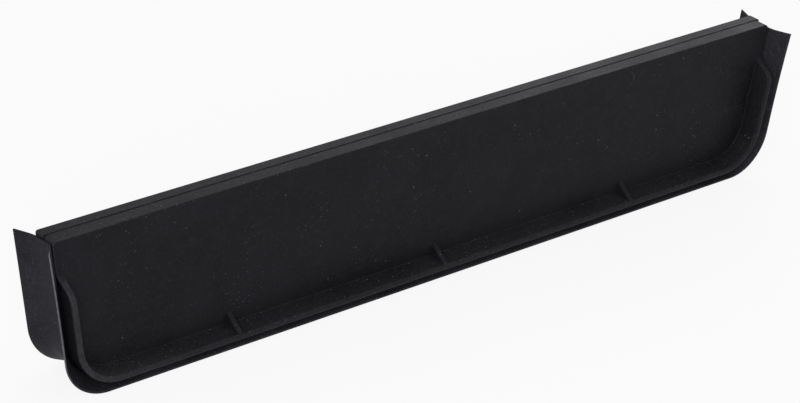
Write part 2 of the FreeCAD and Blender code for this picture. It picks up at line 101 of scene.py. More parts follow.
# How far a lip's upper tip has moved, by face and end of the panel.
LIP_SET = {
    (FRONT, -1): (-0.5, 0.8, 1.7),
    (FRONT, 1): (0.5, -0.7, -2.1),
    (REAR, -1): (0.0, 0.0, -1.0),
}
TONGUE_HALF = 1.0
BEAD_HALF = 2.0
BEAD_INSET = 3.3
BEAD_DEPTH = 2.4
BEAD_TOP = TOP - TOP_STEP - BEAD_INSET

# The screws and what holds them.
SCREW_COLUMNS = 4
SCREW_SPACING = 130.0
SCREW_ROWS = (24.0, 74.0)
SCREW_RADIUS = 1.75
SCREW_LENGTH = 9.0
THREAD_PITCH = 1.25
THREAD_DEPTH = 0.45
HEAD_RADIUS = 3.5
HEAD_HEIGHT = 1.8
HEAD_RECESS = 2.5
HEAD_PLAY = 0.3
HEAD_SIDE = 0.55
TIP_PLAY = 0.3
DRIVE_RADIUS = 1.1
DRIVE_DEPTH = 1.0
BOSS_RADIUS = 4.15
SCREW_PLAY = 0.2
RIB_WALL = 1.8
RIB_GAP = 2.3
# How far a tool's solid runs past the face that it cuts, or into the wall that it joins.
CUT_MARGIN = 0.5
BURIED = 0.4


# Outlines in the panel's plane.


class Outline:
    """The right half of a U: a leaning leg, a round corner and the level bottom."""

    def __init__(self, half, bottom, radius, leg_top):
        turn = radius * math.tan((math.pi / 2 - LEAN) / 2)
        self.half = half
        self.bottom = bottom
        self.radius = radius
        self.leg_top = leg_top
        self.centre_x = half - math.tan(LEAN) * (TOP - bottom) - turn
        self.centre_z = bottom + radius
        self.leg_end = self.centre_z - radius * math.sin(LEAN)

    def leg(self, share):
        """A point on the leg: 0 is its top and 1 its lower end."""
        z = self.leg_top + (self.leg_end - self.leg_top) * share
        return self.half - math.tan(LEAN) * (TOP - z), z

    def corner(self, share):
        """A point on the round corner: 0 is the leg's end and 1 the bottom's."""
        angle = -LEAN - share * (math.pi / 2 - LEAN)
        x = self.centre_x + self.radius * math.cos(angle)
        return x, self.centre_z + self.radius * math.sin(angle)

    def base(self, share):
        """A point on the bottom: 0 is its right end and 1 the panel's middle."""
        return self.centre_x * (1 - share), self.bottom


class ShellOutline(Outline):
    """The shells' outline at an inset, with its rounded upper corner and its ledge."""

    def __init__(self, inset, side):
        half = HALF_LENGTH - inset / math.cos(LEAN)
        ledge, radius = LEDGE[side], UPPER_RADIUS[side]
        self.upper_radius = radius - inset
        run = radius * math.tan((math.pi / 2 + LEAN) / 2)
        corner_x = HALF_LENGTH - math.tan(LEAN) * (TOP - ledge)
        self.upper_x = corner_x - run
        self.upper_z = ledge - radius
        self.top_z = ledge - inset
        if self.upper_radius > 0:
            leg_top = self.upper_z - self.upper_radius * math.sin(LEAN)
        else:
            leg_top = self.top_z
            self.upper_x = half - math.tan(LEAN) * (TOP - self.top_z)
        super().__init__(half, UNDERSIDE + inset, CORNER_RADIUS - inset, leg_top)

    def ledge(self, share):
        """A point on the ledge: 0 is the panel's middle and 1 the corner's start."""
        return self.upper_x * share, self.top_z

    def upper(self, share):
        """A point on the upper corner: 0 is the ledge's end and 1 the leg's top."""
        if self.upper_radius <= 0:
            return self.upper_x, self.top_z
        angle = math.pi / 2 - share * (math.pi / 2 + LEAN)
        x = self.upper_x + self.upper_radius * math.cos(angle)
        return x, self.upper_z + self.upper_radius * math.sin(angle)


def skirt_outline(inset, leg_top=SKIRT_TOP):
    """The skirt's outline where it follows the shells, at an inset."""
    half = HALF_LENGTH - inset / math.cos(LEAN)
    return Outline(half, UNDERSIDE + inset, CORNER_RADIUS - inset, leg_top)


def lip_outline(side, inset):
    """The free edge of a lip of the skirt, at an inset from its outside."""
    half = HALF_LENGTH + LIP_FLARE[side] - inset / math.cos(LEAN)
    return Outline(half, inset, LIP_RADIUS[side] - inset, SKIRT_TOP)


def spread(first, last, count):
    """Evenly spaced numbers, both ends included."""
    return [first + (last - first) * i / (count - 1) for i in range(count)]


def arc_points(start, corner, end, steps):
    """Points of the arc that rounds a corner, from its start to its end."""
    start, corner, end = Vector(start), Vector(corner), Vector(end)
    half_angle = (start - corner).angle(end - corner, math.pi / 2) / 2
    weight = math.sin(half_angle)
    points = []
    for share in spread(0.0, 1.0, steps + 1):
        a, b, c = (1 - share) ** 2, 2 * weight * share * (1 - share), share ** 2
        points.append((start * a + corner * b + end * c) / (a + b + c))
    return points


# Meshes.


def mesh_object(name, points, faces, worn_and_highlit=()):
    """A closed mesh from points in millimetres, with its normals outwards.

    The worn and highlit list gives (point number, share) for the points on an exposed edge, which
    the finishes lighten for rubbing and as a painted highlight.
    """
    mesh = bpy.data.meshes.new(name)
    mesh.from_pydata([(x * MM, y * MM, z * MM) for x, y, z in points], [], faces)
    wear_and_highlight = mesh.attributes.new("edge_wear_and_highlight", "FLOAT", "POINT")
    for vertex, share in worn_and_highlit:
        wear_and_highlight.data[vertex].value = share
    form = bmesh.new()
    form.from_mesh(mesh)
    bmesh.ops.remove_doubles(form, verts=form.verts, dist=MERGE * MM)
    bmesh.ops.recalc_face_normals(form, faces=form.faces)
    form.to_mesh(mesh)
    form.free()
    made = bpy.data.objects.new(name, mesh)
    bpy.context.scene.collection.objects.link(made)
    return made


def ring_faces(stations, points, closed):
    """Quads between rows of points, one row for each station."""
    faces = []
    last = stations if closed else stations - 1
    for row in range(last):
        after = (row + 1) % stations
        for column in range(points - 1):
            faces.append((
                row * points + column, row * points + column + 1,
                after * points + column + 1, after * points + column,
            ))
    return faces


def finish_shading(piece, angle=32.0):
    """Smooth shading that keeps the real edges sharp."""
    piece.data.shade_smooth()
    piece.data.set_sharp_from_angle(angle=math.radians(angle))


def evaluated_copy(piece):
    """A plain mesh with the piece's modifiers carried out. It takes the piece's place and name."""
    name = piece.name
    graph = bpy.context.evaluated_depsgraph_get()
    mesh = bpy.data.meshes.new_from_object(piece.evaluated_get(graph))
    bpy.data.objects.remove(piece)
    made = bpy.data.objects.new(name, mesh)
    bpy.context.scene.collection.objects.link(made)
    return made


def combine(piece, tool, operation):
    """Joins a tool's solids to a piece, or cuts them from it, and removes the tool."""
    step = piece.modifiers.new("combine", "BOOLEAN")
    step.operation = operation
    step.solver = "EXACT"
    step.use_self = True
    step.object = tool
    made = evaluated_copy(piece)
    bpy.data.objects.remove(tool)
    return made


# Shells.


def rim_end_curve(depth):
    """Heights and depths along the S-shaped upper end of a rim, from the web to its edge."""
    bend = math.pi / 2 - RIM_SLOPE
    run = RIM_REACH - depth - (RIM_HOLLOW + RIM_SHOULDER) * (1 - math.cos(bend))
    drop = run * math.tan(RIM_SLOPE)
    low = RIM_START - (RIM_HOLLOW + RIM_SHOULDER) * math.sin(bend) - drop
    curve = []
    for turn in spread(0.0, bend, 7):
        curve.append((RIM_START - RIM_HOLLOW * math.sin(turn),
                      depth + RIM_HOLLOW * (1 - math.cos(turn))))
    for share in spread(0.0, 1.0, 9)[1:-1]:
        curve.append((curve[6][0] - drop * share, curve[6][1] + run * share))
    for turn in spread(bend, 0.0, 12):
        curve.append((low + RIM_SHOULDER * math.sin(turn),
                      RIM_REACH - RIM_SHOULDER * (1 - math.cos(turn))))
    return curve


def shell_section(depth, reach, joint, limit):
    """A shell's section as (depth, inset) pairs, and the shares by which the points along its edge
    are lightened, for rubbing and as a painted highlight.

    It runs from the cavity's floor along the joint, the outside and the rim's edge to the web.
    The outer edge takes this in full, and the rest of the edge only where a rim stands.
    """
    rise = reach - depth
    taper = (RIM_ROOT - RIM_EDGE) / (RIM_REACH - depth)
    edge = RIM_ROOT - taper * rise
    full = min(1.0, rise / RIM_FULL_RISE)
    outer = LEDGE_ROUND + (RIM_ROUND - LEDGE_ROUND) * full
    inner = min(RIM_ROUND, 0.45 * rise)
    fillet = min(ROOT_FILLET, 0.5 * rise)
    section = [(depth - WALL, WALL), (joint, WALL)]
    section += arc_points((joint, SEAM_BEVEL), (joint, 0.0), (joint + SEAM_BEVEL, 0.0), 3)
    section += [(joint + SEAM_BEVEL + EDGE_BAND, 0.0), (reach - outer - EDGE_BAND, 0.0)]
    edge_from = len(section)
    section += arc_points((reach - outer, 0.0), (reach, 0.0), (reach, outer), 6)
    face_from = len(section)
    section += [(reach, outer + 0.2), (reach, edge - RIM_ROUND - 0.2)]
    section += arc_points(
        (reach, edge - RIM_ROUND), (reach, edge),
        (reach - inner, edge + taper * inner), 6)
    edge_to = len(section)
    root = depth + fillet
    section += arc_points(
        (root, RIM_ROOT - taper * fillet + 0.02), (depth, RIM_ROOT + 0.02),
        (depth, RIM_ROOT + ROOT_FILLET), 8)
    section += [(depth, WEB_INSET - 0.4), (depth, WEB_INSET)]
    section = [
        (place, inset + STAGGER * i * (inset > outer)) for i, (place, inset) in enumerate(section)]
    # The points past the outer rounding are squeezed together, so that the last lies at limit.
    span = WEB_INSET - outer
    for i, (place, inset) in enumerate(section[edge_from:]):
        if inset > outer:
            inset = outer + (inset - outer) * (limit - outer) / span
        section[edge_from + i] = (place, inset)
    wear_and_highlight = {i: 1.0 if i < face_from else full for i in range(edge_from, edge_to)}
    return section, wear_and_highlight


def shell_stations(side):
    """Half of a shell's outline: part, share, reach of the rim, joint level, web's inset."""
    depth = DEPTH[side]
    outline = ShellOutline(0.0, side)
    stations = []
    for share in spread(0.0, 1.0, 14):
        stations.append(("ledge", share, depth, 0.0, WEB_INSET_AT_LEDGE))
    for share in spread(0.0, 1.0, 11)[1:]:
        stations.append(("upper", share, depth, 0.0, WEB_INSET_AT_LEDGE))

    def leg_station(z, reach):
        share = (outline.leg_top - z) / (outline.leg_top - outline.leg_end)
        fade = min(1.0, max(0.0, (outline.leg_top - z) / WEB_FADE))
        limit = WEB_INSET_AT_LEDGE + (WEB_INSET - WEB_INSET_AT_LEDGE) * fade
        joint = TONGUE_HALF if z < SKIRT_TOP else 0.0
        return ("leg", share, reach, joint, limit)

    heights = []
    if outline.leg_top > SKIRT_TOP + 0.02:
        heights += [SKIRT_TOP + 0.005]
    heights += [min(SKIRT_TOP, outline.leg_top) - 0.01]
    heights += spread(outline.leg_top - 1.5, RIM_START + 1.0, 9)
    stations += [leg_station(z, depth) for z in heights]
    curve = rim_end_curve(depth)
    stations += [leg_station(z, reach) for z, reach in curve]
    low = curve[-1][0]
    stations += [leg_station(z, RIM_REACH) for z in spread(low, outline.leg_end, 8)[1:]]
    for share in spread(0.0, 1.0, 25)[1:]:
        stations.append(("corner", share, RIM_REACH, TONGUE_HALF, WEB_INSET))
    for share in spread(0.0, 1.0, 24)[1:]:
        stations.append(("base", share, RIM_REACH, TONGUE_HALF, WEB_INSET))
    return stations


# The share of rubbing and painted highlight on the outer edge of the upper corners.
UPPER_WEAR_AND_HIGHLIGHT = 0.7


def shell_wear_and_highlight(point):
    """How strongly a shell's edges are lightened at a point, for rubbing and as a painted
    highlight: most at the left end.
    """
    return 0.25 + 0.65 * min(1.0, max(0.0, (-point[0] - 170.0) / 60.0))


def shell_mesh(name, side):
    """A shell without its ribs and bosses: a section swept round the panel's outline."""
    depth = DEPTH[side]
    rows = []
    worn_and_highlit_rows = []
    for part, share, reach, joint, limit in shell_stations(side):
        section, wear_and_highlight = shell_section(depth, reach, joint, limit)
        if part == "upper" and 0.1 < share < 0.6:
            wear_and_highlight.update({i: UPPER_WEAR_AND_HIGHLIGHT for i, (_, inset) in enumerate(section) if inset == 0.0})
        worn_and_highlit_rows.append(wear_and_highlight)
        row = []
        for place, inset in section:
            x, z = getattr(ShellOutline(inset, side), part)(share)
            row.append((x, side * place, z))
        rows.append(row)
    rows += [[(-x, y, z) for x, y, z in row] for row in rows[-2:0:-1]]
    worn_and_highlit_rows += worn_and_highlit_rows[-2:0:-1]
    count = len(rows[0])
    points = [point for row in rows for point in row]
    faces = ring_faces(len(rows), count, closed=True)
    faces.append([row * count for row in range(len(rows))])
    faces.append([row * count + count - 1 for row in range(len(rows))])
    worn_and_highlit = [
        (row * count + column, share * shell_wear_and_highlight(rows[row][column]))
        for row, wear_and_highlight in enumerate(worn_and_highlit_rows) for column, share in wear_and_highlight.items()]
    return mesh_object(name, points, faces, worn_and_highlit)


def prism(name, side, corners, low_x, high_x, bevel=0.0):
    """A prism along X from corners given as (depth, height)."""
    count = len(corners)
    points = [(x, side * place, z) for x in (low_x, high_x) for place, z in corners]
    faces = [[i, (i + 1) % count, count + (i + 1) % count, count + i] for i in range(count)]
    faces += [list(range(count)), list(range(count, 2 * count))]
    made = mesh_object(name, points, faces)
    if bevel:
        form = bmesh.new()
        form.from_mesh(made.data)
        bmesh.ops.bevel(form, geom=form.edges[:], offset=bevel * MM, segments=3, profile=0.5,
                        affect="EDGES", clamp_overlap=True)
        form.to_mesh(made.data)
        form.free()
    return made


def pin(name, side, radius, low, high, sides=48):
    """A round solid across the panel, from one depth to another, round X 0 and Z 0."""
    points = []
    for place in (low, high):
        for i in range(sides):
            angle = 2 * math.pi * i / sides
            points.append((radius * math.cos(angle), side * place, radius * math.sin(angle)))
    faces = [[i, (i + 1) % sides, sides + (i + 1) % sides, sides + i] for i in range(sides)]
    faces += [list(range(sides)), list(range(sides, 2 * sides))]
    return mesh_object(name, points, faces)


# What repeats along the panel.


def repeat_tree():
    """The node tree that repeats a mesh in columns along the panel and in rows up it."""
    tree = bpy.data.node_groups.new("repeat_on_panel", "GeometryNodeTree")
    sockets = [
        ("Geometry", "NodeSocketGeometry"), ("Columns", "NodeSocketInt"),
        ("Column Spacing", "NodeSocketFloat"), ("Rows", "NodeSocketInt"),
        ("Row Spacing", "NodeSocketFloat"), ("First Row", "NodeSocketFloat"),
        ("Turn", "NodeSocketFloat"), ("Seed", "NodeSocketInt"),
        ("Material", "NodeSocketMaterial"),
    ]
    for label, kind in sockets:
        tree.interface.new_socket(label, in_out="INPUT", socket_type=kind)
    tree.interface.new_socket("Geometry", in_out="OUTPUT", socket_type="NodeSocketGeometry")
    given = tree.nodes.new("NodeGroupInput").outputs
    result = tree.nodes.new("NodeGroupOutput").inputs

    def node(kind, **values):
        made = tree.nodes.new(kind)
        for label, value in values.items():
            setattr(made, label, value)
        return made

    def maths(operation, first, second):
        made = node("ShaderNodeMath", operation=operation)
        for socket, value in zip(made.inputs, (first, second)):
            if isinstance(value, (int, float)):
                socket.default_value = value
            else:
                tree.links.new(value, socket)
        return made.outputs[0]

    def vector(**parts):
        made = node("ShaderNodeCombineXYZ")
        for axis, source in parts.items():
            tree.links.new(source, made.inputs[axis])
        return made.outputs[0]

    half_run = maths("MULTIPLY", maths("SUBTRACT", given["Columns"], 1.0), -0.5)
    first_x = maths("MULTIPLY", half_run, given["Column Spacing"])
    columns = node("GeometryNodeMeshLine", mode="OFFSET")
    tree.links.new(given["Columns"], columns.inputs["Count"])
    tree.links.new(vector(X=first_x, Z=given["First Row"]), columns.inputs["Start Location"])
    tree.links.new(vector(X=given["Column Spacing"]), columns.inputs["Offset"])
    rows = node("GeometryNodeMeshLine", mode="OFFSET")
    tree.links.new(given["Rows"], rows.inputs["Count"])
    tree.links.new(vector(Z=given["Row Spacing"]), rows.inputs["Offset"])
    grid = node("GeometryNodeInstanceOnPoints")
    tree.links.new(rows.outputs["Mesh"], grid.inputs["Points"])
    tree.links.new(columns.outputs["Mesh"], grid.inputs["Instance"])
    places = node("GeometryNodeRealizeInstances")
    tree.links.new(grid.outputs["Instances"], places.inputs[0])
    turn = node("FunctionNodeRandomValue", data_type="FLOAT")
    limits = [socket for socket in turn.inputs if socket.type == "VALUE"]
    tree.links.new(given["Turn"], limits[1])
    tree.links.new(given["Seed"], turn.inputs["Seed"])
    angle = next(socket for socket in turn.outputs if socket.type == "VALUE")
    copies = node("GeometryNodeInstanceOnPoints")
    tree.links.new(places.outputs[0], copies.inputs["Points"])
    tree.links.new(given["Geometry"], copies.inputs["Instance"])
    tree.links.new(vector(Y=angle), copies.inputs["Rotation"])
    real = node("GeometryNodeRealizeInstances")
    tree.links.new(copies.outputs["Instances"], real.inputs[0])
    finish = node("GeometryNodeSetMaterial")
    tree.links.new(real.outputs[0], finish.inputs["Geometry"])
    tree.links.new(given["Material"], finish.inputs["Material"])
    tree.links.new(finish.outputs[0], result["Geometry"])
    return tree


REPEAT = repeat_tree()


def repeated(piece, material, columns, spacing, rows=1, row_spacing=0.0, first_row=0.0, turn=0.0):
    """Copies of a piece in columns and rows, as one plain mesh."""
    step = piece.modifiers.new("repeat", "NODES")
    step.node_group = REPEAT
    values = {
        "Columns": columns, "Column Spacing": spacing * MM, "Rows": rows,
        "Row Spacing": row_spacing * MM, "First Row": first_row * MM, "Turn": turn, "Seed": 7,
        "Material": material,
    }
    for item in REPEAT.interface.items_tree:
        if item.in_out == "INPUT" and item.name in values:
            step[item.identifier] = values[item.name]
    return evaluated_copy(piece)


def at_screws(piece, material, turn=0.0):
    """A copy of a piece at each screw's place."""
    low, high = SCREW_ROWS
    return repeated(piece, material, SCREW_COLUMNS, SCREW_SPACING, 2, high - low, low, turn)


def gussets(side, material):
    """The three triangular plates between a web and the lower run of its rim."""
    depth = DEPTH[side]
    foot = RIM_REACH - GUSSET_SETBACK
    foot_wall = RIM_EDGE + (RIM_ROOT - RIM_EDGE) * GUSSET_SETBACK / (RIM_REACH - depth)
    corners = [
        (depth - GUSSET_ROOT, UNDERSIDE + RIM_ROOT + GUSSET_RISE + 0.5),
        (depth - GUSSET_ROOT, UNDERSIDE + RIM_EDGE / 2),
        (foot, UNDERSIDE + RIM_EDGE / 2),
        (foot, UNDERSIDE + foot_wall),
    ]
    half = GUSSET_WIDTH / 2
    one = prism("gusset", side, corners, -half, half, bevel=GUSSET_BEVEL)
    return repeated(one, material, GUSSET_COUNT, GUSSET_SPACING)


def add_inside(piece, side, material):
    """The ribs and the bosses that the cavity of a shell has."""
    depth = DEPTH[side]
    floor = depth - WALL + BURIED
    upright = [
        (floor, UNDERSIDE + WALL / 2), (RIB_GAP, UNDERSIDE + WALL / 2),
        (RIB_GAP, LEDGE[side] - WALL / 2), (floor, LEDGE[side] - WALL / 2),
    ]
    ribs = repeated(
        prism("rib", side, upright, -RIB_WALL / 2, RIB_WALL / 2),
        material, 2 * SCREW_COLUMNS - 1, SCREW_SPACING / 2)
    piece = combine(piece, ribs, "UNION")
    middle = sum(SCREW_ROWS) / 2
    reach = HALF_LENGTH - math.tan(LEAN) * (TOP - middle) - WALL / 2
    across = [
        (floor, middle - RIB_WALL / 2), (RIB_GAP, middle - RIB_WALL / 2),
        (RIB_GAP, middle + RIB_WALL / 2), (floor, middle + RIB_WALL / 2),
    ]
    piece = combine(piece, prism("long_rib", side, across, -reach, reach), "UNION")
    boss = at_screws(pin("boss", side, BOSS_RADIUS, 0.0, floor), material)
    return combine(piece, boss, "UNION")


def front_shell(material):
    """The front half of the panel, with the blind holes that the screws bite into."""
    piece = shell_mesh("front_shell_moulding", FRONT)
    piece = combine(piece, gussets(FRONT, material), "UNION")
    piece = add_inside(piece, FRONT, material)
    depth = SCREW_LENGTH - (DEPTH[REAR] - HEAD_RECESS) + TIP_PLAY
    pilot = pin("pilot", FRONT, SCREW_RADIUS - THREAD_DEPTH, -CUT_MARGIN, depth)
    return combine(piece, at_screws(pilot, material), "DIFFERENCE")


def rear_shell(material):
    """The rear half of the panel, with the recesses that hold the screws' heads."""
    piece = shell_mesh("rear_shell_moulding", REAR)
    piece = combine(piece, gussets(REAR, material), "UNION")
    piece = add_inside(piece, REAR, material)
    seat = DEPTH[REAR] - HEAD_RECESS
    way = pin("way", REAR, SCREW_RADIUS + SCREW_PLAY, -CUT_MARGIN, seat + CUT_MARGIN)
    piece = combine(piece, at_screws(way, material), "DIFFERENCE")
    head_seat = pin("seat", REAR, HEAD_RADIUS + HEAD_PLAY, seat, DEPTH[REAR] + 2 * CUT_MARGIN)
    return combine(piece, at_screws(head_seat, material), "DIFFERENCE")


# Skirt.


def skirt_stations():
    """Half of the skirt's run: part of the outline and share of that part."""
    stations = [("leg", share) for share in spread(0.0, 1.0, 22)]
    stations += [("corner", share) for share in spread(0.0, 1.0, 29)[1:]]
    stations += [("base", share) for share in spread(0.0, 1.0, 24)[1:]]
    return stations


def skirt_section(part, share):
    """The skirt's closed section at a station, and which of its points are on a free edge."""

    def at(outline, place):
        x, z = getattr(outline, part)(share)
        return Vector((x, place, z))

    def lip(side):
        """A lip, from the outer face of the wrap round its free edge to the inner face."""
        depth, reach = DEPTH[side], LIP_REACH[side]
        outer_root = at(skirt_outline(-SKIRT_WALL), side * depth)
        inner_root = at(skirt_outline(0.0), side * depth)
        outer_edge = at(lip_outline(side, 0.0), side * reach)
        inner_edge = at(lip_outline(side, SKIRT_WALL), side * reach)
        inward = Vector((0, -side, 0))

        def on(root, edge, far):
            """A point on a face of the lip, a distance in from its free edge."""
            return edge + (root - edge) * (far / (root - edge).length)

        outer_length = (outer_root - outer_edge).length
        inner_length = (inner_root - inner_edge).length
        run = arc_points(outer_root + inward * LIP_BEND, outer_root,
                         on(outer_root, outer_edge, outer_length - LIP_BEND), 5)
        run += [on(outer_root, outer_edge, far) for far in LIP_ROWS]
        start = len(run)
        run += arc_points(on(outer_root, outer_edge, LIP_ROUND), outer_edge,
                          outer_edge + (inner_edge - outer_edge).normalized() * LIP_ROUND, 4)
        run += arc_points(inner_edge + (outer_edge - inner_edge).normalized() * LIP_ROUND,
                          inner_edge, on(inner_root, inner_edge, LIP_ROUND), 4)
        edge = range(start, len(run))
        run += [on(inner_root, inner_edge, far) for far in reversed(LIP_ROWS)]
        run += arc_points(on(inner_root, inner_edge, inner_length - LIP_BEND), inner_root,
                          inner_root + inward * LIP_BEND, 5)
        return run, edge

    section, front_edge = lip(FRONT)
    worn_and_highlit = list(front_edge)
    bead_inset = BEAD_INSET + BEAD_DEPTH
    section += [
        at(skirt_outline(0.0), -TONGUE_HALF),
        at(skirt_outline(BEAD_INSET, BEAD_TOP), -TONGUE_HALF),
        at(skirt_outline(BEAD_INSET, BEAD_TOP), -BEAD_HALF),
        at(skirt_outline(bead_inset, BEAD_TOP), -BEAD_HALF),
        at(skirt_outline(bead_inset, BEAD_TOP), BEAD_HALF),
        at(skirt_outline(BEAD_INSET, BEAD_TOP), BEAD_HALF),
        at(skirt_outline(BEAD_INSET, BEAD_TOP), TONGUE_HALF),
        at(skirt_outline(0.0), TONGUE_HALF),
    ]
    rear, rear_edge = lip(REAR)
    turned = list(reversed(rear))
    worn_and_highlit += [len(section) + len(turned) - 1 - i for i in rear_edge]
    section += turned
    return section, worn_and_highlit


def set_in_shape(point):
    """Moves a point by the small set that the lips' free upper ends have taken."""
    x, y, z = point
    side = REAR if y > 0 else FRONT
    out = (abs(y) - TONGUE_HALF) / (LIP_REACH[side] - TONGUE_HALF)
    high = (z - LIP_SET_FROM) / (SKIRT_TOP - LIP_SET_FROM)
    move = LIP_SET.get((side, 1 if x > 0 else -1))
    if not move or out <= 0 or high <= 0:
        return point
    share = out * high ** 2
    return tuple(place + step * share for place, step in zip(point, move))


def lip_highlight_and_wear(point):
    """How pale a lip's free edge is made: a painted highlight, with some rubbing, up the front
    lip's left end, and hardly any elsewhere.
    """
    x, y, z = point
    if x > 0 or y > 0:
        return 0.1
    return 0.1 + 0.9 * min(1.0, max(0.0, (z - 12.0) / 14.0))


def skirt(name):
    """The soft strip: a wrap round the shells, two flared lips, and a tongue with its bead."""
    rows = []
    for part, share in skirt_stations():
        section, worn_and_highlit_columns = skirt_section(part, share)
        rows.append([tuple(point) for point in section])
    rows += [[(-x, y, z) for x, y, z in row] for row in rows[-2::-1]]
    rows = [[set_in_shape(point) for point in row] for row in rows]
    count = len(rows[0])
    points = [point for row in rows for point in row]
    faces = ring_faces(len(rows), count, closed=False)
    for row in range(len(rows) - 1):
        low, high = row * count, (row + 1) * count
        faces.append((low + count - 1, low, high, high + count - 1))
    faces.append(list(range(count)))
    faces.append(list(range(len(points) - count, len(points))))
    worn_and_highlit = [
        (row * count + column, lip_highlight_and_wear(rows[row][column]))
        for row in range(len(rows)) for column in worn_and_highlit_columns]
    return mesh_object(name, points, faces, worn_and_highlit)


# Screws.


def screw_mesh(name):
    """One screw along Y: a threaded shank, a domed head and a six-lobed drive hole."""
    sides = 36
    seat = DEPTH[REAR] - HEAD_RECESS
    tip = seat - SCREW_LENGTH
    core_radius = SCREW_RADIUS - THREAD_DEPTH
    rings = []
    for along in spread(0.0, SCREW_LENGTH - 0.6, 97):
        ring = []
        for j in range(sides):
            angle = 2 * math.pi * j / sides
            phase = (along / THREAD_PITCH - j / sides) % 1.0
            crest = max(0.0, 1.0 - abs(phase - 0.5) / 0.28)
            ends = min(1.0, along / 2.0, (SCREW_LENGTH - 0.6 - along) / 0.8)
            point = min(1.0, 0.45 + 0.55 * along / 1.4)
            radius = core_radius * point + THREAD_DEPTH * crest * max(0.0, ends)
            ring.append((radius * math.cos(angle), tip + along, radius * math.sin(angle)))
        rings.append(ring)

    def round_ring(radius, place, lobe=0.0):
        ring = []
        for j in range(sides):
            angle = 2 * math.pi * j / sides
            r = radius + lobe * math.cos(6 * angle)
            ring.append((r * math.cos(angle), place, r * math.sin(angle)))
        return ring

    crown = seat + HEAD_HEIGHT
    rings += [
        round_ring(core_radius, seat - 0.15), round_ring(core_radius + 0.15, seat),
        round_ring(HEAD_RADIUS - 0.2, seat), round_ring(HEAD_RADIUS, seat + 0.2),
        round_ring(HEAD_RADIUS, seat + HEAD_SIDE),
    ]
    for turn in spread(0.0, 1.0, 8)[1:]:
        radius = HEAD_RADIUS - (HEAD_RADIUS - DRIVE_RADIUS - 0.45) * turn ** 1.6
        height = HEAD_SIDE + (HEAD_HEIGHT - HEAD_SIDE) * turn ** 0.55
        rings.append(round_ring(radius, seat + height))
    rings += [
        round_ring(DRIVE_RADIUS + 0.2, crown, 0.14),
        round_ring(DRIVE_RADIUS + 0.08, crown - 0.1, 0.16),
        round_ring(DRIVE_RADIUS, crown - DRIVE_DEPTH, 0.16),
        round_ring(DRIVE_RADIUS * 0.4, crown - DRIVE_DEPTH - 0.2),
    ]
    points = [point for ring in rings for point in ring]
    faces = []
    for row in range(len(rings) - 1):
        for j in range(sides):
            k = (j + 1) % sides
            faces.append((row * sides + j, row * sides + k, (row + 1) * sides + k,
                          (row + 1) * sides + j))
    faces.append(list(range(sides)))
    faces.append(list(range(len(points) - sides, len(points))))
    return mesh_object(name, points, faces)


# Materials.

SHEEN_TINT = (0.88, 0.9, 1.0, 1.0)


